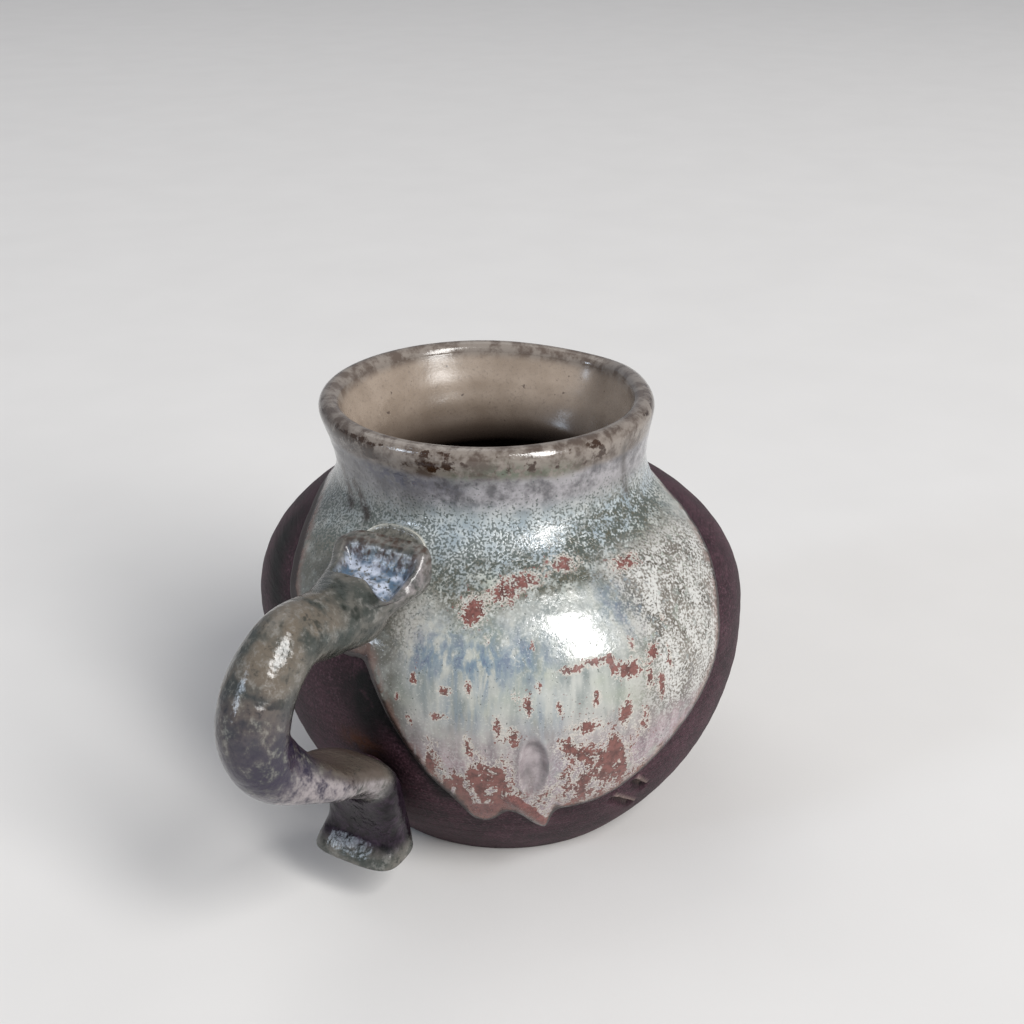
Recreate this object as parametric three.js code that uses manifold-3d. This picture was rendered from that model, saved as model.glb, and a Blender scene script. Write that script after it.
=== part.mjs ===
// Hand-thrown stoneware milk jug: thrown body, coil handle, luting clay and glaze coats.
// Millimetres, +Z up. The origin is the centre of the flat base and the handle points to -X.
import * as THREE from "three";
import { mergeVertices } from "three/addons/utils/BufferGeometryUtils.js";
import Module from "manifold-3d";

// Thrown body: radii and heights of the clay, without glaze
const FOOT_RADIUS = 33;
const FOOT_EDGE = 0.8;
const BELLY_RADIUS = 52.4;
const BELLY_HEIGHT = 48.3;
const NECK_RADIUS = 30.8;
const NECK_HEIGHT = 74.6;
const RIM_RADIUS = 33.8;
const RIM_HEIGHT = 90.9;
const BELLY_WALL = 5;
const RIM_WALL = 2.8;
const FLOOR = 7;

// Fullness of the curves between those rings, as shares of their height or spread
const FOOT_FLARE = 0.415;
const FOOT_RISE = 0.19;
const BELLY_FULLNESS = 0.47;
const SHOULDER_FULLNESS = 0.66;
const NECK_TIGHTNESS = 0.97;
const NECK_FLARE = 0.5;
const RIM_ROLL = 0.9;

// Lean of the mouth, and the pulled pouring lip
const LEAN_X = -2;
const LEAN_Y = 3.4;
const LEAN_START = 37;
const LIP_ANGLE = -12;
const LIP_SPREAD = 25;
const LIP_PULL = 5.5;
const LIP_DIP = 2.5;

// Handle, without glaze: half sizes of its section, and where its centre line runs.
// The root sits on the shoulder and the bend under the belly, as shares of those heights.
const COIL_RADIUS = 6.6;
const ROOT_PLACE = 0.673;
const BEND_PLACE = 0.642;
const ROOT_HALF_WIDTH = 8;
const ROOT_HALF_HEIGHT = 9;
const ROOT_RISE = 5;
const ROOT_SQUARENESS = 4;
const COIL_START = 19;
const COIL_START_RISE = 2.3;
const BOW_TOP_RISE = 4.3;
const BOW_TOP_INSET = 10;
const BOW_DROP = 7.5;
const FINGER_ROOM = 27.5;
const BOW_BOTTOM_RISE = 18.5;
const BOW_BOTTOM_INSET = 5;
const LOWER_RUN_RISE = 9.5;
const RUN_HALF_WIDTH = 6.6;
const RUN_HALF_DEPTH = 4.4;
const BEND_CLEARANCE = 1;
const TAIL_DROP = 12;
const TAIL_STANDOFF = 8;
const TAIL_DRIFT = 5.2;
const TAIL_END_REACH = 17;
const TAIL_END_HALF_WIDTH = 8;
const TAIL_END_HALF_DEPTH = 5;
const TAIL_END_SQUARENESS = 3;
const TAIL_CLEARANCE = 7.5;

// Luting clay at the two places where the handle meets the body
const COLLAR_SPREAD = 3.6;
const COLLAR_RISE = 4;
const PAD_RADIUS = 7;
const PAD_RISE = 4;

// Glaze coats and the clearance that every laid-on piece keeps
const GLAZE = 0.6;
const GAP = 0.3;
const NECK_DIP_DROP = 2;
const NECK_DIP_AZIMUTH = -165;
const NECK_DIP_ELEVATION = 82;
const BELLY_DIP_SHARE = 0.305;
const BELLY_DIP_ELEVATION = 12;
const FRONT_DIP_AZIMUTH = -133;
const BACK_DIP_AZIMUTH = 42;
const RIM_COAT_END = 80;

// Side of the glaze bath, larger than the jug, and the squareness of a plain round section
const BATH_SIZE = 320;
const ROUND = 2;

// Facets, and the distance within which corners are one point
const LATHE_STEPS = 36;
const CURVE_STEPS = 6;
const LIP_STEPS = 4;
const HANDLE_STEPS = 36;
const HANDLE_SIDES = 14;
const LENS_STEPS = 24;
const WELD = 1e-4;

const wasm = await Module();
wasm.setup();

const { degToRad, lerp, smoothstep, clamp } = THREE.MathUtils;
const midway = (from, to) => (from + to) / 2;
const ROOT_HEIGHT = lerp(BELLY_HEIGHT, NECK_HEIGHT, ROOT_PLACE);
const BEND_HEIGHT = BELLY_HEIGHT * BEND_PLACE;
const at = (radius, height) => new THREE.Vector2(radius, height);
const curve = (...controls) => new THREE.CubicBezierCurve(...controls).getPoints(CURVE_STEPS);

// Direction from azimuth and elevation in degrees
function direction(azimuth, elevation) {
  const flat = Math.cos(degToRad(elevation));
  const turn = degToRad(azimuth);
  return new THREE.Vector3(flat * Math.cos(turn), flat * Math.sin(turn), Math.sin(degToRad(elevation)));
}

// Outside of the clay from the foot to the widest ring of the rim
function outerOutline() {
  const foot = at(FOOT_RADIUS, FOOT_EDGE);
  const belly = at(BELLY_RADIUS, BELLY_HEIGHT);
  const neck = at(NECK_RADIUS, NECK_HEIGHT);
  const rim = at(RIM_RADIUS, RIM_HEIGHT);
  const footFlare = at(lerp(FOOT_RADIUS, BELLY_RADIUS, FOOT_FLARE), BELLY_HEIGHT * FOOT_RISE);
  const underBelly = at(BELLY_RADIUS, BELLY_HEIGHT * BELLY_FULLNESS);
  const overBelly = at(BELLY_RADIUS, lerp(BELLY_HEIGHT, NECK_HEIGHT, SHOULDER_FULLNESS));
  const underNeck = at(NECK_RADIUS, lerp(BELLY_HEIGHT, NECK_HEIGHT, NECK_TIGHTNESS));
  const overNeck = at(NECK_RADIUS, lerp(NECK_HEIGHT, RIM_HEIGHT, NECK_FLARE));
  const underRim = at(RIM_RADIUS, lerp(NECK_HEIGHT, RIM_HEIGHT, RIM_ROLL));
  return [
    ...curve(foot, footFlare, underBelly, belly),
    ...curve(belly, overBelly, underNeck, neck).slice(1),
    ...curve(neck, overNeck, underRim, rim).slice(1),
  ];
}

// Arc over the top of the lip between two angles, measured from the outside
function lipArc(from, to) {
  const half = RIM_WALL / 2;
  const arc = new THREE.EllipseCurve(
    RIM_RADIUS - half, RIM_HEIGHT, half, half, degToRad(from), degToRad(to),
  );
  return arc.getPoints(LIP_STEPS);
}

// Points moved square to their outline, to its right-hand side
function offset(points, distanceAt) {
  const last = points.length - 1;
  return points.map((point, i) => {
    const before = points[Math.max(i - 1, 0)];
    const after = points[Math.min(i + 1, last)];
    const along = after.clone().sub(before).normalize();
    return point.clone().addScaledVector(at(along.y, -along.x), distanceAt(point.y));
  });
}

// Inside of the clay from the lip down to the middle of the floor
function innerOutline() {
  const belly = at(BELLY_RADIUS - BELLY_WALL, BELLY_HEIGHT);
  const wallAt = (height) =>
    -lerp(BELLY_WALL, RIM_WALL, clamp((height - BELLY_HEIGHT) / (RIM_HEIGHT - BELLY_HEIGHT), 0, 1));
  const upper = outerOutline().filter((point) => point.y >= BELLY_HEIGHT);
  const wall = offset(upper, wallAt).slice(1).reverse();
  const underBelly = at(belly.x, BELLY_HEIGHT * BELLY_FULLNESS);
  const corner = at(FOOT_RADIUS + BELLY_WALL, FLOOR);
  return [...wall, ...curve(belly, underBelly, corner, at(0, FLOOR))];
}

// Share of the mouth's lean at a height
function leanAt(height) {
  return Math.max((height - LEAN_START) / (RIM_HEIGHT - LEAN_START), 0);
}

// Leans the mouth over and pulls the pouring lip out of the round
function shapeByHand(geometry) {
  const position = geometry.attributes.position;
  const point = new THREE.Vector3();
  const pull = direction(LIP_ANGLE, 0);
  for (let i = 0; i < position.count; i += 1) {
    point.fromBufferAttribute(position, i);
    const lean = leanAt(point.z);
    const rise = smoothstep(point.z, NECK_HEIGHT - RIM_WALL, RIM_HEIGHT);
    const swing = Math.atan2(point.y, point.x) - degToRad(LIP_ANGLE);
    const off = Math.atan2(Math.sin(swing), Math.cos(swing)) / degToRad(LIP_SPREAD);
    const onAxis = Math.hypot(point.x, point.y) < RIM_WALL;
    const lip = onAxis ? 0 : rise * Math.exp(-off * off);
    point.addScaledVector(pull, LIP_PULL * lip);
    point.z -= LIP_DIP * lip;
    point.x += LEAN_X * lean;
    point.y += LEAN_Y * lean;
    position.setXYZ(i, point.x, point.y, point.z);
  }
  return geometry;
}

function toSolid(geometry) {
  const bare = new THREE.BufferGeometry().setAttribute("position", geometry.attributes.position);
  bare.setIndex(geometry.index);
  const merged = mergeVertices(bare, WELD);
  return new wasm.Manifold(
    new wasm.Mesh({
      numProp: 3,
      vertProperties: new Float32Array(merged.attributes.position.array),
      triVerts: new Uint32Array(merged.index.array),
    }),
  );
}

function toGeometry(solid) {
  const { vertProperties, triVerts } = solid.getMesh();
  const geometry = new THREE.BufferGeometry();
  geometry.setAttribute("position", new THREE.BufferAttribute(vertProperties, 3));
  geometry.setIndex(new THREE.BufferAttribute(triVerts, 1));
  geometry.computeVertexNormals();
  return geometry;
}

// Solid thrown on the wheel from an outline, then leaned and pulled
function thrown(points) {
  const lathe = new THREE.LatheGeometry(points, LATHE_STEPS).rotateX(Math.PI / 2);
  return toSolid(shapeByHand(lathe));
}

// Everything inside the outside of the body, grown by a distance
function bodyEnvelope(grow) {
  const side = offset([...outerOutline(), ...lipArc(0, 90).slice(1)], () => grow);
  const top = side[side.length - 1];
  return thrown([at(0, -grow), at(FOOT_RADIUS, -grow), ...side, at(0, top.y)]);
}

// Coat of glaze on an outline, closed on itself
function coatOutline(points) {
  const over = offset(points, () => GAP + GLAZE);
  const under = offset(points, () => GAP).reverse();
  return [...over, ...under, over[0]];
}

// Half-space beyond a plane, as liquid glaze stands over a dipped pot
function beyond(azimuth, elevation, distance) {
  const normal = direction(azimuth, elevation);
  const box = new THREE.BoxGeometry(BATH_SIZE, BATH_SIZE, BATH_SIZE).translate(0, 0, BATH_SIZE / 2);
  const turn = new THREE.Quaternion().setFromUnitVectors(new THREE.Vector3(0, 0, 1), normal);
  box.applyQuaternion(turn).translate(...normal.multiplyScalar(distance));
  return toSolid(box);
}

// Radius of the clay and its outward normal at a height, from the side of the handle
function bodySide(height) {
  const points = outerOutline();
  const next = points.findIndex((point) => point.y >= height);
  const below = points[next - 1];
  const above = points[next];
  const share = (height - below.y) / (above.y - below.y);
  const along = above.clone().sub(below).normalize();
  return { radius: lerp(below.x, above.x, share), out: at(along.y, -along.x) };
}

// Stations along the handle, from inside the wall to the cut end of the tail:
// reach from the axis, sideways drift, height, half width, half depth, squareness of the section
function handleStations() {
  const root = bodySide(ROOT_HEIGHT);
  const bend = bodySide(BEND_HEIGHT);
  const bow = BELLY_RADIUS + FINGER_ROOM + COIL_RADIUS;
  const standOff = RUN_HALF_DEPTH + 2 * (GAP + GLAZE) + BEND_CLEARANCE;
  const bendReach = bend.radius + bend.out.x * standOff;
  const bendHeight = BEND_HEIGHT + bend.out.y * standOff;
  const rootSection = [ROOT_HALF_WIDTH, ROOT_HALF_HEIGHT, ROOT_SQUARENESS];
  const coilSection = [COIL_RADIUS, COIL_RADIUS, ROUND];
  const runSection = [RUN_HALF_WIDTH, RUN_HALF_DEPTH, ROUND];
  const endSection = [TAIL_END_HALF_WIDTH, TAIL_END_HALF_DEPTH, TAIL_END_SQUARENESS];
  const rootReach = root.radius - LEAN_X * leanAt(ROOT_HEIGHT);
  const coilStart = ROOT_HEIGHT + COIL_START_RISE;
  const tailHeight = BEND_HEIGHT - TAIL_DROP;
  const tailReach = bodySide(tailHeight).radius + TAIL_STANDOFF;
  return [
    [rootReach - BELLY_WALL, 0, ROOT_HEIGHT, ...rootSection],
    [rootReach + ROOT_RISE, 0, midway(ROOT_HEIGHT, coilStart), ...rootSection],
    [rootReach + COIL_START, 0, coilStart, ...coilSection],
    [bow - BOW_TOP_INSET, 0, ROOT_HEIGHT + BOW_TOP_RISE, ...coilSection],
    [bow, 0, ROOT_HEIGHT - BOW_DROP, ...coilSection],
    [bow - BOW_BOTTOM_INSET, 0, BEND_HEIGHT + BOW_BOTTOM_RISE, ...coilSection],
    [midway(bendReach, bow), 0, BEND_HEIGHT + LOWER_RUN_RISE, ...runSection],
    [bendReach, 0, bendHeight, ...runSection],
    [tailReach, TAIL_DRIFT / 2, tailHeight, ...runSection],
    [FOOT_RADIUS + TAIL_END_REACH, TAIL_DRIFT, TAIL_CLEARANCE, ...endSection],
  ];
}

function middleOf(ring) {
  const sum = new THREE.Vector3();
  ring.forEach((point) => sum.add(point));
  return sum.divideScalar(ring.length);
}

// Skin through rings of points, closed with a cap at each end
function loft(rings) {
  const sides = rings[0].length;
  const points = rings.flat();
  const faces = [];
  const middles = [rings[0], rings[rings.length - 1]].map(middleOf);
  const first = points.length;
  const last = points.length + 1;
  const lastRing = (rings.length - 1) * sides;
  for (let side = 0; side < sides; side += 1) {
    const next = (side + 1) % sides;
    for (let ring = 0; ring + 1 < rings.length; ring += 1) {
      const here = ring * sides;
      const there = here + sides;
      faces.push(here + side, here + next, there + next, here + side, there + next, there + side);
    }
    faces.push(first, next, side, last, lastRing + side, lastRing + next);
  }
  const geometry = new THREE.BufferGeometry().setFromPoints([...points, ...middles]);
  return geometry.setIndex(faces);
}

// Coil of the handle with every side grown by a distance, reaching into the wall at its root
function coilSolid(grow) {
  const stations = handleStations();
  const toPoint = ([reach, drift, height]) => new THREE.Vector3(-reach, drift, height);
  const toSection = (station) => new THREE.Vector3(...station.slice(3));
  const line = new THREE.CatmullRomCurve3(stations.map(toPoint));
  const sections = new THREE.CatmullRomCurve3(stations.map(toSection));
  const sideways = new THREE.Vector3(0, 1, 0);
  const rings = [];
  for (let step = 0; step <= HANDLE_STEPS; step += 1) {
    const share = step / HANDLE_STEPS;
    const along = line.getTangent(share);
    const centre = line.getPoint(share).addScaledVector(along, step === HANDLE_STEPS ? grow : 0);
    const across = sideways.clone().addScaledVector(along, -along.dot(sideways)).normalize();
    const upward = along.clone().cross(across);
    const [halfWidth, halfDepth, squareness] = sections.getPoint(share);
    const bulge = (value) => Math.sign(value) * Math.abs(value) ** (2 / squareness);
    const ring = [];
    for (let side = 0; side < HANDLE_SIDES; side += 1) {
      const turn = (2 * Math.PI * side) / HANDLE_SIDES;
      const point = centre.clone();
      point.addScaledVector(across, (halfWidth + grow) * bulge(Math.cos(turn)));
      point.addScaledVector(upward, (halfDepth + grow) * bulge(Math.sin(turn)));
      ring.push(point);
    }
    rings.push(ring);
  }
  return toSolid(loft(rings));
}

// Lens of clay on the body under the handle, before body and handle are cut out of it
function lutingLens(height, halfWidth, halfHeight, halfThickness) {
  const { radius, out } = bodySide(height);
  const lens = new THREE.SphereGeometry(1, LENS_STEPS, LENS_STEPS / 2);
  lens.scale(halfWidth, halfHeight, halfThickness);
  const slope = new THREE.Matrix4().makeBasis(
    new THREE.Vector3(0, -1, 0),
    new THREE.Vector3(out.y, 0, out.x),
    new THREE.Vector3(-out.x, 0, out.y),
  );
  return toSolid(lens.applyMatrix4(slope).translate(LEAN_X * leanAt(height) - radius, 0, height));
}

function collarLens(grow) {
  const { out } = bodySide(ROOT_HEIGHT);
  const reach = COLLAR_SPREAD + grow;
  const halfHeight = ROOT_HALF_HEIGHT / out.x + reach;
  return lutingLens(ROOT_HEIGHT, ROOT_HALF_WIDTH + reach, halfHeight, COLLAR_RISE + grow);
}

function padLens(grow) {
  return lutingLens(BEND_HEIGHT, PAD_RADIUS + grow, PAD_RADIUS + grow, PAD_RISE + grow);
}

const clay = new THREE.MeshStandardMaterial({ color: 0x5d4650, roughness: 0.62 });
const slip = new THREE.MeshStandardMaterial({ color: 0x6a5a58, roughness: 0.5 });
const liner = new THREE.MeshStandardMaterial({ color: 0xa39a8b, roughness: 0.16 });
const neckGlaze = new THREE.MeshStandardMaterial({ color: 0x9aa3a3, roughness: 0.2 });
const bellyGlaze = new THREE.MeshStandardMaterial({ color: 0xa8a8a0, roughness: 0.22 });
const handleGlaze = new THREE.MeshStandardMaterial({ color: 0x77766a, roughness: 0.14 });

const jug = new THREE.Group();
function piece(name, solid, material) {
  const mesh = new THREE.Mesh(toGeometry(solid), material);
  mesh.name = name;
  jug.add(mesh);
}

// Clay
const foot = [at(0, 0), at(FOOT_RADIUS - FOOT_EDGE, 0)];
const lip = lipArc(0, 180).slice(1, -1);
const body = thrown([...foot, ...outerOutline(), ...lip, ...innerOutline()]);
const seat = bodyEnvelope(GAP);
const coil = coilSolid(0);
const coilRoom = coilSolid(GAP);
piece("thrown_body", body, clay);
piece("handle", coil.subtract(seat), clay);
piece("root_clay_collar", collarLens(0).subtract(seat).subtract(coilRoom), slip);
piece("bend_clay_pad", padLens(0).subtract(seat).subtract(coilRoom), slip);

// Glaze
const luting = collarLens(GAP).add(padLens(GAP));
const keepOut = coilRoom.add(luting);
const neckDip = (clearance) =>
  beyond(
    NECK_DIP_AZIMUTH,
    NECK_DIP_ELEVATION,
    (NECK_HEIGHT - NECK_DIP_DROP) * Math.sin(degToRad(NECK_DIP_ELEVATION)) + clearance,
  );
const bellyDip = (azimuth) =>
  beyond(
    azimuth,
    BELLY_DIP_ELEVATION,
    BELLY_HEIGHT * Math.sin(degToRad(BELLY_DIP_ELEVATION)) + BELLY_RADIUS * (1 - BELLY_DIP_SHARE),
  );
const outside = outerOutline();
const neckSide = outside.filter((point) => point.y >= BELLY_HEIGHT);
const outerCoat = thrown(coatOutline([...neckSide, ...lipArc(0, RIM_COAT_END).slice(1)]));
const bellyCoat = thrown(coatOutline(outside)).subtract(neckDip(-GAP)).subtract(keepOut);
const linerSide = [...lipArc(180 - RIM_COAT_END, 180), ...innerOutline().slice(1)];
const linerUnder = offset(linerSide, () => GAP).reverse();
const linerOver = offset(linerSide, () => GAP + GLAZE);
linerUnder[0].x = 0;
linerOver[linerOver.length - 1].x = 0;
const coatedBody = bodyEnvelope(GAP + GLAZE + GAP);
piece("liner_glaze", thrown([...linerUnder, ...linerOver]), liner);
piece("neck_glaze", outerCoat.intersect(neckDip(0)).subtract(keepOut), neckGlaze);
piece("front_belly_glaze", bellyCoat.intersect(bellyDip(FRONT_DIP_AZIMUTH)), bellyGlaze);
piece("back_belly_glaze", bellyCoat.intersect(bellyDip(BACK_DIP_AZIMUTH)), bellyGlaze);
const handleCoat = coilSolid(GAP + GLAZE).subtract(coilRoom);
piece("handle_glaze", handleCoat.subtract(coatedBody).subtract(luting), handleGlaze);

export default jug;
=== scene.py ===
import math

import bmesh
import bpy
import numpy as np
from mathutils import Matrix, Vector


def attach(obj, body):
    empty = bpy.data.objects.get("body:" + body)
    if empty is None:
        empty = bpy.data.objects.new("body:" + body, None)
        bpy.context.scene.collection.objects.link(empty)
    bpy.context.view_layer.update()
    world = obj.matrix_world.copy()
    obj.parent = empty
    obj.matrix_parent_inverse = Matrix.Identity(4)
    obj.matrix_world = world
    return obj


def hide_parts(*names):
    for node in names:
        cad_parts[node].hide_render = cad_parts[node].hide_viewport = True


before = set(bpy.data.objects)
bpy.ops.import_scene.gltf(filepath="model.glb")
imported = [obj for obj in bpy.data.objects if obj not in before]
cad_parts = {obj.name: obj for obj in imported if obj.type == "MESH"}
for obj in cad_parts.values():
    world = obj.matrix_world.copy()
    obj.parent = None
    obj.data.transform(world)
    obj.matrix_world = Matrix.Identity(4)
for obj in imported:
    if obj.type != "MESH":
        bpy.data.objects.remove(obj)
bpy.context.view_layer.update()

# Sizes are in millimetres, as the clay was measured, and meshes are made in metres
MM = 0.001

# Thrown body
FOOT_RADIUS = 33
FOOT_EDGE = 0.8
BELLY_RADIUS = 52.4
BELLY_HEIGHT = 48.3
NECK_RADIUS = 30.8
NECK_HEIGHT = 74.6
RIM_RADIUS = 33.8
RIM_HEIGHT = 90.9
BELLY_WALL = 5
RIM_WALL = 2.8
FLOOR = 7
FOOT_FLARE = 0.415
FOOT_RISE = 0.19
BELLY_FULLNESS = 0.47
SHOULDER_FULLNESS = 0.66
NECK_TIGHTNESS = 0.97
NECK_FLARE = 0.5
RIM_ROLL = 0.9
LEAN = np.array([-2, 3.4])
LEAN_START = 37
LIP_ANGLE = -12
LIP_SPREAD = 25
LIP_PULL = 5.5
LIP_DIP = 2.5

# Handle: its path, from the root over the bow and the lower run to the tail
COIL_RADIUS = 5.4
ROOT_PLACE = 0.673
ROOT_HALF_WIDTH = 9.2
ROOT_HALF_HEIGHT = 10
ROOT_DRIFT = 0.8
ROOT_RISE = 5
COIL_START = 19
COIL_START_RISE = 2.3
BOW_TOP_RISE = 4.3
BOW_TOP_INSET = 10
BOW_DROP = 7.5
FINGER_ROOM = 30.2
BOW_BOTTOM_RISE = 16.6
BOW_BOTTOM_INSET = 5
BEND_PLACE = 0.642
BEND_STANDOFF = 7.2
BEND_LIFT = 1.4
LOWER_RUN_RISE = 8.6
TAIL_DROP = 12
TAIL_STANDOFF = 6.8
TAIL_DRIFT = 2.4
TAIL_TILT = 1
TAIL_TILT_LENGTH = 14
TAIL_CLEARANCE = 11.4
TAIL_END_REACH = 19.2
ROOT_HEIGHT = BELLY_HEIGHT + (NECK_HEIGHT - BELLY_HEIGHT) * ROOT_PLACE
BEND_HEIGHT = BELLY_HEIGHT * BEND_PLACE

# Handle: half width, half depth and squareness of its sections, 2 being round
ROOT_SECTION = (ROOT_HALF_WIDTH, ROOT_HALF_HEIGHT, 5)
ROOT_END_SECTION = (7.8, 7.2, 4)
COIL_SECTION = (COIL_RADIUS, COIL_RADIUS, 2)
RUN_SECTION = (7.1, 3.2, 2.6)
TAIL_SECTION = (7.1, 4, 2.6)
TAIL_END_SECTION = (8.8, 4.2, 3.2)

# Handle: the thumb's pocket in the root, the toe at the tail's end, and the caps of coil and glaze
POCKET_REACH = 6
POCKET_HALF = 4.2
POCKET_DEPTH = 3.2
TOE_LENGTH = 4.3
TOE_END = 0.6
TOE_BULGE = 3.1
COIL_BEGIN = 0.06
COIL_CAP = 0.4
HANDLE_COAT_BEGIN = 0.05
HANDLE_COAT_CAP = 1.1

# Glaze: how far its face stands off the clay, its rolled edge, and where it pools or overlaps
COAT = 0.9
COAT_AT_EDGE = 0.55
COAT_AT_OVERLAP = 0.66
COAT_LEAST = 0.02
COAT_BACK = 0.01
EDGE_ROLL = 0.8
EDGE_SWELL = 9
NECK_FILL = 5
NECK_FILL_TOP = 83
NECK_POOL = 0.6
NECK_POOL_HALF = 4.4
OVERLAP_HALF = 3.5
TUCK_LENGTH = 1.2
TUCK_DEPTH = 0.06
RIM_COAT_END = 90
DARK_LINE = 1.5

# Front angles between which each lobe of the belly's glaze lies
FRONT_LOBE = (-33, 98)
BACK_LOBE = (130, 252)

# Facets: rows of the bare clay are closer than those the glaze covers
AROUND = 560
CURVE_STEPS = 60
LIP_STEPS = 14
BARE_HEIGHT = 64
BARE_STEP = 0.8
COVERED_STEP = 3
NECK_ROWS = 110
LOBE_ROWS = 130
LOBE_FINENESS = 1.8
ROW_CROWDING = 1.15
HANDLE_STEPS = 260
HANDLE_SIDES = 96
HANDLE_CAP_STEPS = 10
LENS_RINGS = 30
LENS_SIDES = 120
LINE_STEPS = 1440
LINE_SOFTNESS = 4
SHARP_ANGLE = math.radians(55)

# Places on the body are a front angle in degrees, 0 toward the photographer and growing to the
# right, and a height in millimetres. The handle's root is at ROOT_TURN.
FRONT = -150
ROOT_TURN = -30

# Soft clay round the root, and the pad of slip behind the lower bend
COLLAR_TURN = ROOT_TURN - 2
COLLAR_SPREAD = 0.6
COLLAR_TALL = 0.93
COLLAR_LOWER = 0.55
COLLAR_RIDGE = 0.45
COLLAR_RIDGE_PLACE = 0.93
COLLAR_RIDGE_HALF = 0.028
COLLAR_FLOW = 0.5
LENS_SQUARENESS = 2.3
LENS_SINK = 0.4
PAD_TURN = ROOT_TURN - 2.5
PAD_HEIGHT = 27
PAD_RADIUS = 4.4
PAD_RISE = 3

# Lower edge of the glaze all round: the front lobe, and a like one behind
GLAZE_EDGE = [
    (-180, 17), (-165, 19), (-155, 24), (-145, 34), (-136, 48), (-128, 61), (-118, 69), (-105, 71.6),
    (-95, 71.2), (-86, 70.4), (-78, 69.2), (-72.5, 67.6), (-67, 65.4), (-62, 62.4), (-57, 58.6), (-51, 55.6),
    (-45, 54.5), (-34, 54), (-30, 54.5), (-28, 50), (-25.5, 43.5), (-22, 36.5), (-18, 30.5), (-13, 25.2),
    (-10, 21), (-8.5, 18.2), (-5, 17.2), (-2, 18.4), (0, 21), (2.5, 20.4), (5.5, 17.6), (8, 15.2),
    (10.5, 14.9), (11.6, 16.6), (12.4, 20.4), (17, 20.3), (23, 20.8), (28, 22.6), (34, 26.2), (40, 31),
    (46, 36.2), (51, 40.4), (55, 44.6), (57.6, 49.5), (60, 54.6), (65, 59.6), (71, 63.4), (78, 67.4),
    (86, 70.8), (97, 73.4), (110, 75), (126, 75), (138, 71), (146, 62), (152, 50), (160, 34), (170, 22),
    (180, 17),
]

# Line where the neck's glaze was dipped over the belly's
OVERLAP_LINE = [
    (-180, 76), (-130, 75), (-112, 72), (-105, 69), (-76, 66), (-60, 55), (-45, 50), (-34, 50), (-30, 56),
    (-26, 66), (-20, 70.4), (-12, 69.2), (-5, 70.4), (2, 69.6), (9, 70.6), (17, 70.2), (26, 71.2),
    (36, 70.2), (44, 70.4), (54, 72), (66, 73), (80, 74), (88, 73.4), (94, 72), (100, 70), (128, 70),
    (136, 71.5), (146, 75), (180, 76),
]

# Waves of the hand-shaped wall: size, count round the pot, start, and millimetres of height to a radian
WOBBLES = [(0.22, 2, 1, 17), (0.13, 3, 2, 9)]

# Throwing rings: size, radians to a millimetre of height, and radians to one round the pot
RING = (0.03, 1.9, 1.4)

# Marks in the clay: a pressed oval, a drip ridge, and two gashes near the foot with torn upper lips
PRESS = (6, 34.5)
PRESS_HALF = (2.7, 7.2)
PRESS_DEPTH = 1.1
PRESS_RIM = 0.45
DRIP = ((1.5, 25.5), (10.5, 15.6))
DRIP_RISE = 0.75
DRIP_HALF = 1.3
GASHES = [((29, 18.6), (38.5, 12.6)), ((34, 22.4), (39, 18.6))]
GASH_DEPTH = 2
GASH_HALF = 0.7
GASH_LIP = 0.6
GASH_LIP_HALF = 0.6
GASH_LIP_OFF = (1.3, 1.1)

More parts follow.
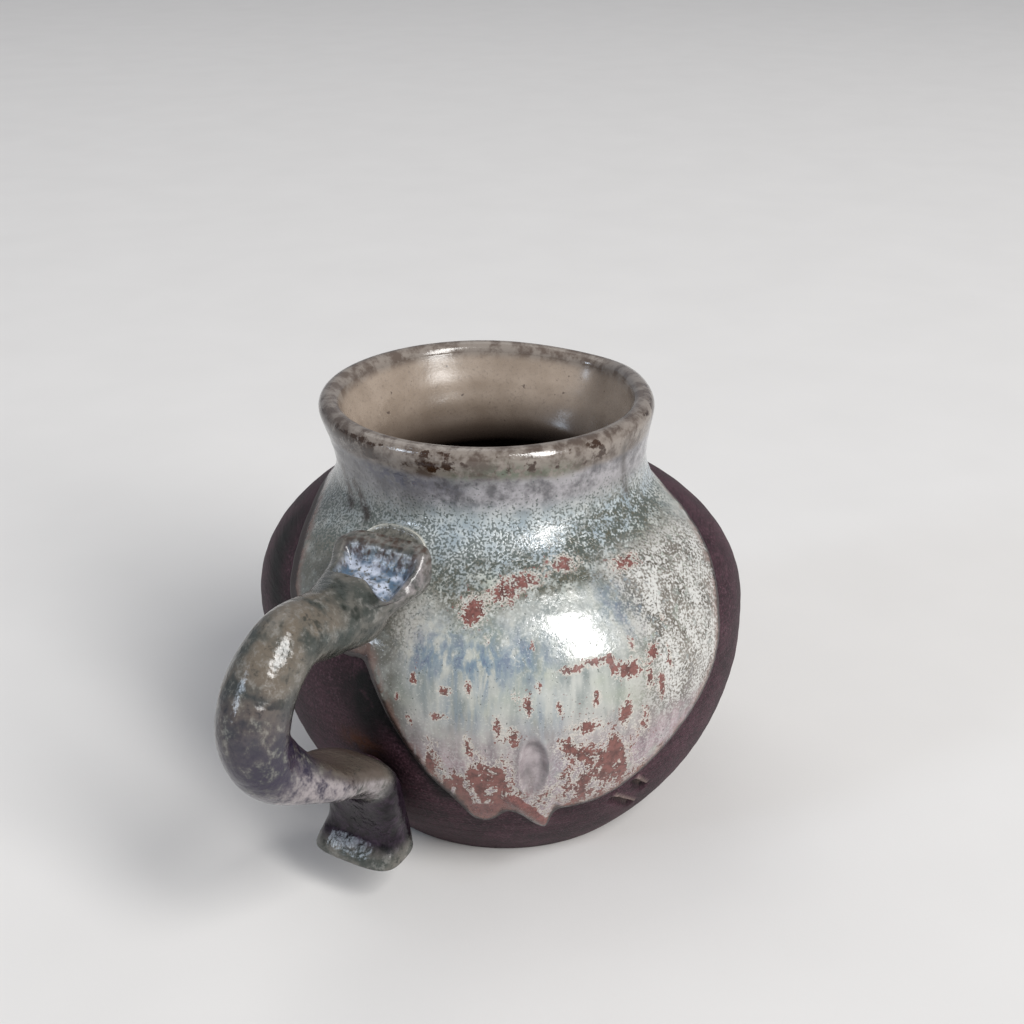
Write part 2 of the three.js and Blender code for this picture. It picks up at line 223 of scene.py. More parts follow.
# Spots of each look of the outside glaze: front angle, height, half width, half height, strength
ZONE_SPOTS = {
    "blue": [
        (-16, 58, 5, 4.6, 0.9), (-4, 56.5, 6, 5, 1), (7, 57.5, 5, 4, 0.6), (33, 63, 6, 5, 0.75),
        (38, 56, 3, 5, 0.5), (-8, 47.5, 5, 4, 0.55), (9, 46, 4, 5, 0.4), (-9, 70.5, 4, 3, 0.4),
        (10, 34, 3, 6, 0.2), (170, 55, 14, 8, 0.5),
    ],
    "rust": [
        (-18, 53, 0.8, 1.6, 0.5), (-11.5, 51.5, 2, 1.3, 0.5), (-6.5, 52.5, 0.9, 2.2, 0.5),
        (-13, 46, 2.2, 1.3, 0.5), (3, 51, 0.9, 1.5, 0.4), (5.5, 49, 1.1, 2.4, 0.5), (-1, 44.6, 1.2, 3, 0.5),
        (15, 55, 2.4, 0.9, 0.45), (21, 55.8, 3.2, 1, 0.55), (24.5, 54.6, 0.8, 2.2, 0.4),
        (28.5, 53.2, 3, 1.6, 0.6), (35, 55, 1.6, 1.5, 0.5), (36, 48, 1, 3, 0.45), (27, 44, 1.2, 3, 0.45),
        (-5.5, 64.6, 3.2, 2.6, 0.54), (2.5, 67, 3, 1.8, 0.5), (9, 68.6, 4, 1.3, 0.5),
        (21, 70.2, 4, 1.4, 0.5), (39, 68.4, 4.5, 1.3, 0.5), (17, 43, 3, 1.5, 0.4), (-6, 33, 1.8, 7, 0.4),
        (-1, 30, 2.6, 8, 0.42), (16, 36, 3, 3, 0.45), (23, 34, 3, 6, 0.45), (13, 39, 3, 2, 0.4),
        (27, 31, 1.4, 5, 0.36), (18, 28, 1.4, 6, 0.36), (-17, 34, 0.8, 3, 0.45), (-13.5, 28, 0.8, 3, 0.5),
        (-10, 26, 1.4, 5, 0.5), (-8, 40, 1, 3, 0.45), (2, 42, 1.2, 3, 0.45), (20, 49, 0.8, 1.6, 0.45),
        (33, 50, 0.9, 2.4, 0.5), (39, 53, 0.8, 2.6, 0.45), (12, 48, 0.8, 1.6, 0.4), (-22, 49, 0.8, 1.2, 0.45),
        (-16, 40, 2, 2, 0.4), (-15, 36, 1.2, 3, 0.35), (-20, 44, 1, 2, 0.35), (31, 40, 2, 4, 0.35),
        (30, 57, 1, 2, 0.4), (8, 52.5, 0.8, 1.2, 0.35), (-2, 60.5, 0.8, 1, 0.4), (8, 59.5, 0.7, 1.3, 0.35),
        (40, 59, 1, 2, 0.4), (22, 46, 16, 9, 0.16),
    ],
    "moss": [
        (-6, 66, 6, 4, 1), (6, 68.6, 7, 2.6, 1), (28, 70, 9, 2.4, 1), (52, 75, 10, 6, 1),
        (40, 72, 9, 4, 0.9),
    ],
    "violet": [(-33, 85.4, 5, 2.6, 1), (-43, 86.4, 4, 2, 0.7), (-16, 85.4, 7, 2, 0.5)],
    "green": [(7, 89, 4, 1.6, 0.9), (22, 88.4, 5, 1.6, 0.6), (-8, 87.6, 4, 1.8, 0.5)],
    "lavender": [(45, 42, 12, 8, 0.5)],
    "milk": [(-24, 60, 4, 6, 0.6)],
    # Painted shade: a spot below the handle's root
    "painted_shade": [(-26, 52, 4, 12, 0.85)],
    "speck": [(-22, 66, 5, 6, 0.5)],
    "frost": [(-20, 62, 4, 5, 0.5)],
    "puddle": [(-5, 20.5, 5.6, 4.6, 1.1)],
    # The wide spot on the left of the neck is painted shade
    "streaks_and_shade": [(-66, 86, 8, 6, 0.45)],
}

# Dark streaks down the neck: start, end, half width, strength
STREAKS = [((-74, 86), (-57, 74.6), 1.2, 1), ((-57, 80), (-46.5, 74), 1.1, 1), ((52, 89), (56, 78), 1.1, 0.7)]

# Smoke on the bare clay, as spots and as strokes along the glaze's edge, and one rust-red ember
SMOKE_SPOTS = [(-31, 44, 5, 9, 1.1), (-30, 28, 4, 7, 0.8)]
SMOKE_STROKES = [((-82, 66), (-60, 54), 3.4, 1), ((-30, 50), (-14, 25), 1.8, 1)]
EMBER_SPOTS = [(-35, 34, 4.5, 2.6, 1)]


def smooth(value, low, high):
    share = np.clip((value - low) / (high - low), 0, 1)
    return share * share * (3 - 2 * share)


def blend(first, second, share):
    return first + (second - first) * share


def hump(value, middle, half):
    """1 at the middle, falling off with distance."""
    return np.exp(-(((value - middle) / half) ** 2))


def eased(value):
    """0 below 0 and the value itself above, with the corner rounded."""
    return (value + np.sqrt(value**2 + 0.03)) / 2


def wrapped(angle):
    return (angle + 180) % 360 - 180


def bezier(start, pull_out, pull_in, end):
    t = np.linspace(0, 1, CURVE_STEPS + 1)[:, None]
    points = [np.array(p, float) for p in (start, pull_out, pull_in, end)]
    weights = [(1 - t) ** 3, 3 * (1 - t) ** 2 * t, 3 * (1 - t) * t**2, t**3]
    return sum(w * p for w, p in zip(weights, points))


def outer_outline():
    """Outside of the clay from the foot to the widest ring of the rim."""
    foot = (FOOT_RADIUS, FOOT_EDGE)
    belly = (BELLY_RADIUS, BELLY_HEIGHT)
    neck = (NECK_RADIUS, NECK_HEIGHT)
    rim = (RIM_RADIUS, RIM_HEIGHT)
    foot_flare = (blend(FOOT_RADIUS, BELLY_RADIUS, FOOT_FLARE), BELLY_HEIGHT * FOOT_RISE)
    under_belly = (BELLY_RADIUS, BELLY_HEIGHT * BELLY_FULLNESS)
    over_belly = (BELLY_RADIUS, blend(BELLY_HEIGHT, NECK_HEIGHT, SHOULDER_FULLNESS))
    under_neck = (NECK_RADIUS, blend(BELLY_HEIGHT, NECK_HEIGHT, NECK_TIGHTNESS))
    over_neck = (NECK_RADIUS, blend(NECK_HEIGHT, RIM_HEIGHT, NECK_FLARE))
    under_rim = (RIM_RADIUS, blend(NECK_HEIGHT, RIM_HEIGHT, RIM_ROLL))
    lower = bezier(foot, foot_flare, under_belly, belly)
    shoulder = bezier(belly, over_belly, under_neck, neck)
    mouth = bezier(neck, over_neck, under_rim, rim)
    return np.vstack([lower, shoulder[1:], mouth[1:]])


def lip_arc(start, end):
    half = RIM_WALL / 2
    turn = np.radians(np.linspace(start, end, LIP_STEPS))
    return np.stack([RIM_RADIUS - half + half * np.cos(turn), RIM_HEIGHT + half * np.sin(turn)], 1)


def outline_normals(points):
    along = np.gradient(points, axis=0)
    along /= np.linalg.norm(along, axis=1)[:, None]
    return np.stack([along[:, 1], -along[:, 0]], 1)


def arc_lengths(points):
    steps = np.linalg.norm(np.diff(points, axis=0), axis=1)
    return np.concatenate([[0], np.cumsum(steps)])


OUTER = outer_outline()
ALL_ROUND = np.linspace(-180, 180, AROUND, endpoint=False)


def inner_outline():
    """Inside of the clay from the lip down to the middle of the floor."""
    upper = OUTER[OUTER[:, 1] >= BELLY_HEIGHT]
    share = np.clip((upper[:, 1] - BELLY_HEIGHT) / (RIM_HEIGHT - BELLY_HEIGHT), 0, 1)
    wall = upper - outline_normals(upper) * blend(BELLY_WALL, RIM_WALL, share)[:, None]
    belly = (BELLY_RADIUS - BELLY_WALL, BELLY_HEIGHT)
    under_belly = (belly[0], BELLY_HEIGHT * BELLY_FULLNESS)
    corner = (FOOT_RADIUS + BELLY_WALL, FLOOR)
    bowl = bezier(belly, under_belly, corner, (0, FLOOR))
    return np.vstack([wall[1:][::-1], bowl])


def filled_outline():
    """Outline that the glaze follows: the clay's, with the corner under the neck filled in."""
    lengths = arc_lengths(OUTER)
    weights = hump(lengths[:, None], lengths[None, :], NECK_FILL) * np.gradient(lengths)
    soft = weights @ OUTER / weights.sum(1)[:, None]
    height = OUTER[:, 1:]
    from_below = smooth(height, BARE_HEIGHT - 4, BARE_HEIGHT + 3)
    from_above = smooth(height, NECK_FILL_TOP + 5, NECK_FILL_TOP)
    return blend(OUTER, soft, from_below * from_above)


class Track:
    """An outline that is walked by its length, with its outward normals."""

    def __init__(self, points):
        self.points = points
        self.lengths = arc_lengths(points)
        self.normals = outline_normals(points)
        self.total = self.lengths[-1]

    def at(self, length, lift):
        radius, height = (np.interp(length, self.lengths, self.points[:, i]) for i in (0, 1))
        out, up = self.normal_at(length)
        return radius + out * lift, height + up * lift

    def normal_at(self, length):
        return [np.interp(length, self.lengths, self.normals[:, i]) for i in (0, 1)]

    def length_at(self, height):
        side = slice(len(OUTER))
        return np.interp(height, self.points[side, 1], self.lengths[side])


CLAY_SIDE = Track(OUTER)
COAT_SIDE = Track(np.vstack([filled_outline(), lip_arc(0, 180)[1:]]))
COAT_TOP = COAT_SIDE.lengths[len(OUTER) - 1] + RIM_WALL / 2 * math.radians(RIM_COAT_END)


def lean_at(height):
    return np.maximum((height - LEAN_START) / (RIM_HEIGHT - LEAN_START), 0)


def shape_by_hand(points):
    """Leans the mouth over and pulls the pouring lip out of the round."""
    x, y, z = (points[..., i].copy() for i in range(3))
    lean = lean_at(z)
    rise = smooth(z, NECK_HEIGHT - RIM_WALL, RIM_HEIGHT)
    off = wrapped(np.degrees(np.arctan2(y, x)) - LIP_ANGLE)
    lip = np.where(np.hypot(x, y) > RIM_WALL, rise * hump(off, 0, LIP_SPREAD), 0)
    pull = math.radians(LIP_ANGLE)
    x += LIP_PULL * math.cos(pull) * lip + LEAN[0] * lean
    y += LIP_PULL * math.sin(pull) * lip + LEAN[1] * lean
    return np.stack([x, y, z - LIP_DIP * lip], -1)


def around(front_angle, radius, height):
    """Points of the leaned and pulled pot from front angle, radius and height."""
    turn = np.radians(front_angle + FRONT)
    return shape_by_hand(np.stack([radius * np.cos(turn), radius * np.sin(turn), height + 0 * turn], -1))


def line_height(points, angle):
    """Height of a line given by points at front angles, with its corners rounded off."""
    fine = np.linspace(-180, 180, LINE_STEPS + 1)
    raw = np.interp(fine, *zip(*points))
    reach = 2 * LINE_SOFTNESS
    kernel = hump(np.arange(-reach, reach + 1), 0, LINE_SOFTNESS)
    kernel /= kernel.sum()
    soft = np.convolve(np.pad(raw, reach, mode="wrap"), kernel, mode="valid")
    return np.interp(wrapped(angle), fine, soft)


def lengths_on(line, angle):
    """Lengths along the glaze's outline at which a given line lies."""
    return COAT_SIDE.length_at(line_height(line, angle))


def near(angle, height, place, half_width, half_height):
    """1 at a place on the body, falling off with distance; half sizes in millimetres."""
    radius = np.interp(height, OUTER[:, 1], OUTER[:, 0])
    across = np.radians(wrapped(angle - place[0])) * radius / half_width
    return np.exp(-(across**2) - ((height - place[1]) / half_height) ** 2)


def near_spots(angle, height, table):
    return sum(
        power * near(angle, height, (turn, level), wide, tall) for turn, level, wide, tall, power in table)


def along_stroke(angle, height, start, end, half_width):
    """1 on a straight stroke between two places, falling off beside it."""
    radius = np.interp(height, OUTER[:, 1], OUTER[:, 0])
    to_mm = np.radians(1) * radius
    px = wrapped(angle - start[0]) * to_mm
    pz = height - start[1]
    dx = (end[0] - start[0]) * to_mm
    dz = end[1] - start[1]
    share = np.clip((px * dx + pz * dz) / (dx * dx + dz * dz), 0, 1)
    return np.exp(-((px - share * dx) ** 2 + (pz - share * dz) ** 2) / half_width**2)


def along_strokes(angle, height, table):
    return sum(power * along_stroke(angle, height, start, end, half) for start, end, half, power in table)


def gash_strokes(half_width):
    return [(start, end, half_width, 1) for start, end in GASHES]


def gash_lip_strokes(half_width):
    """Strokes on the torn lips, just above the gashes."""
    first_off, last_off = GASH_LIP_OFF
    return [((a, b + first_off), (c, d + last_off), half_width, 1) for (a, b), (c, d) in GASHES]


def relief(angle, height):
    """How far the outside stands off its true curve: wobble, throwing rings and marks."""
    turn = np.radians(angle)
    wobble = sum(
        size * np.cos(count * turn + start) * np.sin(height / tall) for size, count, start, tall in WOBBLES)
    ring_size, ring_rise, ring_climb = RING
    rings = ring_size * np.sin(height * ring_rise + ring_climb * turn)
    wall = smooth(height, 3, 12) * smooth(height, RIM_HEIGHT, RIM_HEIGHT - 5)
    press = near(angle, height, PRESS, *PRESS_HALF)
    marks = PRESS_RIM * hump(press, 0.3, 0.12) - PRESS_DEPTH * smooth(press, 0.32, 0.75)
    marks = marks + DRIP_RISE * along_stroke(angle, height, *DRIP, DRIP_HALF)
    marks = marks - GASH_DEPTH * along_strokes(angle, height, gash_strokes(GASH_HALF))
    marks = marks + GASH_LIP * along_strokes(angle, height, gash_lip_strokes(GASH_LIP_HALF))
    return (wobble + rings) * wall + marks


def make_piece(name, points, zones, material, node, close_rows=False, close_columns=True, ends=()):
    """Mesh object from a grid of points in millimetres, riding on the jug in place of a CAD node.

    ends are the faces besides those of the grid."""
    faces = grid_faces(*points.shape[:2], close_rows, close_columns) + list(ends)
    mesh = bpy.data.meshes.new(name)
    mesh.from_pydata((points.reshape(-1, 3) * MM).tolist(), [], faces)
    for key, values in zones.items():
        flat = np.asarray(values, np.float32).ravel()
        mesh.attributes.new(key, "FLOAT", "POINT").data.foreach_set("value", flat)
    cleaner = bmesh.new()
    cleaner.from_mesh(mesh)
    bmesh.ops.remove_doubles(cleaner, verts=cleaner.verts, dist=MM * 0.001)
    bmesh.ops.recalc_face_normals(cleaner, faces=cleaner.faces)
    cleaner.to_mesh(mesh)
    cleaner.free()
    mesh.polygons.foreach_set("use_smooth", [True] * len(mesh.polygons))
    mesh.set_sharp_from_angle(angle=SHARP_ANGLE)
    mesh.materials.append(material)
    piece = bpy.data.objects.new(name, mesh)
    bpy.context.scene.collection.objects.link(piece)
    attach(piece, "root")
    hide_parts(node)


def grid_faces(rows, columns, close_rows, close_columns):
    """Quads of a grid stored row by row, closed on itself where asked."""
    faces = []
    for row in range(rows if close_rows else rows - 1):
        upper = (row + 1) % rows
        for column in range(columns if close_columns else columns - 1):
            beside = (column + 1) % columns
            faces.append((
                row * columns + column, row * columns + beside,
                upper * columns + beside, upper * columns + column,
            ))
    return faces


class Shader:
    """Node tree of one material, whose tones are laid over each other from the ground up.

    Tones are red, green and blue as the eye sees them. A name stands for the noise of that name."""

    def __init__(self, name):
        self.material = bpy.data.materials.new(name)
        self.material.use_nodes = True
        self.tree = self.material.node_tree
        self.noises = {}
        self.tone = None
        self.place = self.vector("MULTIPLY", self.node("TexCoord", {}, "Object"), (1 / MM, 1 / MM, 1 / MM))

    def put(self, socket, value):
        if isinstance(value, str):
            value = self.noises[value]
        if isinstance(value, bpy.types.NodeSocket):
            self.tree.links.new(value, socket)
        else:
            socket.default_value = value

    def node(self, kind, inputs, output, **settings):
        """Adds a node, gives it its settings and inputs, and returns one of its outputs."""
        made = self.tree.nodes.new("ShaderNode" + kind)
        for key, value in settings.items():
            setattr(made, key, value)
        for key, value in inputs.items():
            self.put(made.inputs[key], value)
        return made.outputs[output]

    def vector(self, operation, first, second):
        return self.node("VectorMath", {0: first, 1: second}, 0, operation=operation)

    def math(self, operation, first, others):
        for other in others:
            first = self.node("Math", {0: first, 1: other}, 0, operation=operation)
        return first

    def add(self, first, *others):
        return self.math("ADD", first, others)

    def times(self, first, *others):
        return self.math("MULTIPLY", first, others)

    def weighed(self, **shares):
        """Sum of noises, each times its share."""
        return self.add(*(self.times(name, share) for name, share in shares.items()))

    def zone(self, name):
        """Where a look shows, kept on the mesh's points."""
        return self.node("Attribute", {}, "Fac", attribute_name=name)

    def noise(self, name, size, detail=3, roughness=0.55, stretch=(1, 1, 1), bend=0, seed=0):
        """Noise with grains of a size in millimetres, made longer along an axis by stretch."""
        place = self.vector("MULTIPLY", self.place, tuple(1 / (size * s) for s in stretch))
        place = self.vector("ADD", place, (seed * 7.3, seed * 3.1, seed * 5.7))
        inputs = {"Vector": place, "Scale": 1, "Detail": detail, "Roughness": roughness, "Distortion": bend}
        self.noises[name] = self.node("TexNoise", inputs, "Fac")

    def grade(self, value, low, high):
        """0 at low, 1 at high, and a soft step between."""
        inputs = {"Value": value, "From Min": low, "From Max": high}
        return self.node("MapRange", inputs, "Result", interpolation_type="SMOOTHSTEP")

    def mix(self, share, *tones):
        first, second = (colour(*tone) if isinstance(tone, tuple) else tone for tone in tones)
        return self.node("Mix", {0: share, 6: first, 7: second}, 2, data_type="RGBA")

    def two_tone(self, value, low, high, first, second):
        return self.mix(self.grade(value, low, high), first, second)

    def lay(self, tone, *shares):
        """Lays a tone over the colour so far, by the product of its shares."""
        self.tone = self.mix(self.times(*shares), self.tone, tone) if shares else tone

    def bump(self, height, distance, strength=1, below=None):
        inputs = {"Height": height, "Strength": strength, "Distance": distance * MM}
        if below is not None:
            inputs["Normal"] = below
        return self.node("Bump", inputs, "Normal")

    def finish(self, roughness, normal, specular):
        surface = self.tree.nodes["Principled BSDF"].inputs
        self.put(surface["Base Color"], self.tone)
        self.put(surface["Roughness"], roughness)
        self.put(surface["Normal"], normal)
        self.put(surface["Specular IOR Level"], specular)
        return self.material


def colour(red, green, blue):
    """A colour as the eye sees it, 0 to 255, in Blender's linear values."""
    def linear(value):
        share = value / 255
        return share / 12.92 if share <= 0.04045 else ((share + 0.055) / 1.055) ** 2.4
    return (linear(red), linear(green), linear(blue), 1)


def clay_material():
    """Bare stoneware: dark purple-brown, satin, with a fine grain, wheel lines, smoke, painted shade in the
    gashes and torn lips.
    """
    s = Shader("bare_clay")
    s.noise("grain", 0.55, detail=4, roughness=0.7)
    s.noise("cloud", 9, detail=4, roughness=0.6, seed=1)
    s.noise("lines", 2.2, detail=2, stretch=(6, 6, 0.35), seed=2)
    s.noise("soot", 2.6, detail=5, roughness=0.7, seed=3)
    s.noise("glow", 2.2, detail=4, seed=4)
    s.lay(s.two_tone("cloud", 0.32, 0.68, (41, 23, 30), (68, 42, 51)))
    s.lay((110, 83, 93), s.grade("grain", 0.52, 0.66), 0.55)
    s.lay((16, 8, 13), s.grade("grain", 0.5, 0.36), 0.8)
    # Smoke, and painted shade inside the gashes
    s.lay((9, 9, 10), s.zone("smoke_and_gash_shade"), s.grade("soot", 0.22, 0.5))
    s.lay((84, 44, 16), s.zone("ember"), s.grade("glow", 0.3, 0.55), 0.8)
    s.lay((186, 166, 158), s.zone("scar"))
    rough = s.add(0.42, s.times("grain", 0.3))
    return s.finish(rough, s.bump(s.weighed(grain=0.7, lines=0.6), 0.3), 0.2)


def pale_ground(s):
    """Ground of the lobe: cream to green-grey, lavender low down, with milky veils, blue runs and painted
    shade on the left side.
    """
    s.lay(s.two_tone("wide_runs", 0.32, 0.66, (126, 133, 131), (180, 181, 175)))
    s.lay((150, 158, 138), s.grade("broad", 0.42, 0.68), 0.5)
    lavender = s.two_tone("runs", 0.3, 0.7, (122, 104, 110), (162, 143, 148))
    s.lay(lavender, s.zone("lavender"), s.grade("cloud", 0.2, 0.55))
    veil = s.weighed(fleck=1, cloud=0.6)
    s.lay((198, 200, 196), s.zone("milk"), s.grade(veil, 0.76, 0.96), 0.8)
    s.lay((114, 132, 146), s.zone("blue"), s.grade("runs", 0.38, 0.54))
    s.lay((92, 103, 127), s.zone("blue"), s.grade("runs", 0.52, 0.64), 0.75)
    # Painted shade: the glaze on the side away from the lamps, greyed and darkened
    s.lay((96, 95, 88), s.zone("painted_shade"), s.grade("cloud", 0.2, 0.6))
    s.lay((208, 208, 203), s.grade("fine", 0.56, 0.72), 0.3)


def neck_and_shoulder(s):
    """Lavender-grey neck, pale specked shoulder, and the olive band where the two dips overlap.

    Returns the specks, which lie a little deeper."""
    uneven = s.weighed(cloud=0.6, coarse=0.4)
    s.lay(s.two_tone(uneven, 0.38, 0.62, (86, 84, 87), (160, 157, 160)), s.zone("neck"))
    s.lay(s.two_tone("cloud", 0.3, 0.7, (140, 152, 159), (198, 203, 203)), s.zone("shoulder"))
    broken = s.weighed(coarse=1, cloud=0.6, dots=0.5)
    s.lay((84, 82, 69), s.zone("moss"), s.grade(broken, 0.88, 1.14))
    dense = s.add(s.weighed(dots=1, cloud=0.3), s.times(s.zone("speck"), 0.24))
    specks = s.grade(dense, 0.82, 0.96)
    s.lay((76, 84, 80), specks, 0.82)
    s.lay((82, 82, 94), s.zone("violet"), s.grade("coarse", 0.38, 0.58))
    return specks


def frosted_side(s):
    """White crystals on a brown-grey ground."""
    ground = s.two_tone("cloud", 0.35, 0.65, (84, 78, 70), (122, 116, 108))
    s.lay(ground, s.zone("frost"), s.grade("coarse", 0.3, 0.5))
    crystals = s.weighed(fine=1, coarse=0.5, wide_runs=0.5)
    s.lay((196, 195, 191), s.zone("frost"), s.grade(crystals, 0.9, 1.12))


def crawled_patches(s):
    """Red-brown ground where the glaze crawled, each patch with a pale ragged rim. Returns the patches."""
    rust = s.zone("rust")
    ragged = s.weighed(coarse=0.5, fleck=0.8, fine=0.5, runs=0.4, blotch=0.45)
    broken = s.times(s.zone("lavender"), s.add("blotch", -0.52), 0.9)
    field = s.add(ragged, s.times(rust, 0.82), broken)
    s.lay((196, 190, 181), s.grade(field, 1.48, 1.58), s.grade(rust, 0.12, 0.3), 0.8)
    bare = s.grade(field, 1.63, 1.67)
    s.lay(s.two_tone("coarse", 0.36, 0.62, (82, 48, 43), (122, 76, 69)), bare)
    pooled = s.grade(s.add(s.zone("puddle"), s.times("blotch", 0.5)), 0.7, 0.86)
    s.lay(s.two_tone("coarse", 0.34, 0.66, (90, 50, 47), (122, 74, 69)), pooled)
    s.lay(s.two_tone("cloud", 0.3, 0.7, (112, 104, 107), (180, 170, 172)), s.zone("press"), 0.85)
    return bare


def rim_tone(s, dark, pale):
    """Mottle of the rim, which the outside glaze and the liner share."""
    s.noise("rim_mottle", 4, detail=6, roughness=0.68, seed=18)
    return s.two_tone("rim_mottle", 0.4, 0.6, dark, pale)


def iron_dashes(s):
    """Short iron-brown dashes that come in groups."""
    s.noise("dashes", 2.2, detail=4, roughness=0.62, seed=19)
    s.noise("groups", 11, detail=2, seed=20)
    grouped = s.times(s.grade("groups", 0.42, 0.6), 0.16)
    return s.grade(s.add("dashes", grouped, s.times(s.zone("iron"), 0.5)), 1.11, 1.19)


def rim_and_edge(s):
    """Grey-brown rim with iron dashes, dark streaks and a patch of painted shade on the neck's left, the
    collar's ridge, and the coat's dark edge.
    """
    rim = rim_tone(s, (82, 70, 62), (130, 121, 113))
    s.lay(rim, s.grade(s.add(s.zone("rim"), s.times("cloud", 0.9)), 0.6, 1.2))
    s.lay((92, 102, 86), s.zone("green"), s.grade("coarse", 0.4, 0.56))
    s.lay((52, 34, 21), iron_dashes(s))
    # Dark streaks down the neck, and painted shade on its left side
    s.lay((46, 38, 33), s.zone("streaks_and_shade"), s.grade("coarse", 0.26, 0.5))
    s.lay(s.two_tone("coarse", 0.36, 0.64, (66, 65, 59), (112, 109, 100)), s.zone("groove"))
    s.lay((192, 190, 180), s.zone("ridge"), s.grade("coarse", 0.34, 0.5))
    edge = s.add(s.zone("edge"), s.times("coarse", 1.2))
    s.lay((118, 84, 74), s.grade(edge, 4.4, 1.5), s.grade("blotch", 0.38, 0.52), 0.7)
    s.lay((38, 27, 25), s.grade(edge, 2.5, 1.3))


def glaze_material(name):
    """Outside glaze: the looks of the dipped coats, each laid on where its zone says."""
    s = Shader(name)
    s.noise("broad", 14, seed=11)
    s.noise("cloud", 5, detail=5, roughness=0.6, seed=12)
    s.noise("runs", 2, stretch=(1, 1, 6), bend=0.4, seed=13)
    s.noise("wide_runs", 4.2, stretch=(1, 1, 4), bend=0.3, seed=14)
    s.noise("fleck", 0.62, roughness=0.65, seed=15)
    s.noise("coarse", 1.5, detail=4, roughness=0.65, seed=16)
    s.noise("blotch", 2.5, detail=5, roughness=0.64, stretch=(1, 1, 2.3), bend=0.5, seed=17)
    s.noise("fine", 0.5, detail=2, roughness=0.6, seed=21)
    s.noise("dots", 0.5, detail=1, roughness=0.5, seed=22)
    pale_ground(s)
    specks = neck_and_shoulder(s)
    frosted_side(s)
    bare = crawled_patches(s)
    rim_and_edge(s)
    thin = s.grade(s.zone("edge"), 1.2, 0.3)
    rough = s.add(0.07, s.times(bare, 0.2), s.times(thin, 0.4), s.times("fleck", 0.08))
    waves = s.bump("cloud", 0.35, 0.5)
    pits = s.add(s.times(bare, -0.5), s.times(specks, -0.25), s.times("fleck", 0.25))
    return s.finish(rough, s.bump(pits, 0.16, 0.8, waves), 0.75)


def liner_material():
    """Poured inside glaze: satin beige with a fine dark speckle, darkened deep down as painted shade, browner
    at the rim.
    """
    s = Shader("liner_glaze")
    s.noise("cloud", 8, detail=4, seed=31)
    s.noise("fleck", 0.6, roughness=0.7, seed=32)
    s.noise("spots", 1.6, detail=2, seed=33)
    s.lay(s.two_tone("cloud", 0.3, 0.7, (142, 127, 113), (162, 147, 133)))
    s.lay((116, 104, 95), s.grade("fleck", 0.52, 0.7), 0.55)
    s.lay((78, 66, 60), s.grade("spots", 0.7, 0.74), 0.8)
    # Painted shade: the inside darkened towards the bottom, below the neck
    s.lay((58, 48, 42), s.zone("deep"))
    s.lay(rim_tone(s, (92, 80, 72), (132, 123, 115)), s.zone("rim"))
    s.lay((50, 32, 20), iron_dashes(s))
    rough = s.add(0.24, s.times(s.zone("rim"), -0.12), s.times("fleck", 0.08))
    return s.finish(rough, s.bump(s.weighed(cloud=1, fleck=0.15), 0.3, 0.5), 0.6)


def handle_material():
    """Handle glaze: mottled grey-green and olive, violet below, a dark violet tail darkened further as
    painted shade, iron on the pressed edges.
    """
    s = Shader("handle_glaze")
    s.noise("mottle", 2.4, detail=6, roughness=0.72, seed=41)
    s.noise("cloud", 6, seed=42)
    s.noise("fleck", 0.8, roughness=0.65, seed=43)
    s.noise("rusty", 1.7, detail=4, seed=44)
    s.noise("blots", 4.5, seed=45)
    s.noise("pool", 3.4, detail=2, seed=46)
    s.lay(s.two_tone("cloud", 0.36, 0.62, (58, 62, 58), (98, 95, 89)))
    s.lay((102, 92, 80), s.zone("olive"), s.grade("cloud", 0.34, 0.62), 0.85)
    s.lay((138, 136, 131), s.grade("mottle", 0.51, 0.66), 0.5)
    s.lay((38, 42, 38), s.grade("mottle", 0.47, 0.34), 0.75)
    s.lay((34, 38, 32), s.grade("blots", 0.6, 0.68), 0.75)
    s.lay((42, 36, 54), s.zone("violet"), s.grade("mottle", 0.7, 0.46))
    s.lay((146, 138, 139), s.zone("pale"), s.grade("mottle", 0.34, 0.64))
    s.lay((88, 79, 72), s.zone("brown"), s.grade("mottle", 0.2, 0.45))
    # Dark violet on the tail, made near black partly as painted shade
    s.lay(s.two_tone("mottle", 0.36, 0.7, (12, 7, 13), (48, 36, 49)), s.zone("dark"))
    pool = s.two_tone("pool", 0.4, 0.6, (78, 98, 118), (178, 186, 202))
    s.lay(pool, s.zone("blue"), s.grade("fleck", 0.34, 0.5))
    s.lay((58, 36, 25), s.zone("iron"), s.grade("rusty", 0.42, 0.6))
    s.lay((60, 60, 56), s.grade("fleck", 0.6, 0.74), 0.5)
    rough = s.add(0.06, s.times("mottle", 0.1))
    waves = s.bump("cloud", 0.9, 0.7)
    gloss = s.add(0.55, s.times(s.zone("dark"), -0.3))
    return s.finish(rough, s.bump(s.weighed(mottle=1, fleck=0.2), 0.3, 0.3, waves), gloss)


CLAY = clay_material()
OUTSIDE_GLAZE = glaze_material("outside_glaze")
LINER_GLAZE = liner_material()
HANDLE_GLAZE = handle_material()
LUTED_GLAZE = glaze_material("luted_glaze")


def limited(zones):
    return {key: np.clip(values, 0, 1) for key, values in zones.items()}


def rim_zones(height):
    """Rim band and its iron dashes."""
    above = height - RIM_HEIGHT
    return {
        "rim": smooth(above, -5.5, -1),
        "iron": smooth(above, -4.5, -1.4) * smooth(above, 1.6, 0.8),
    }


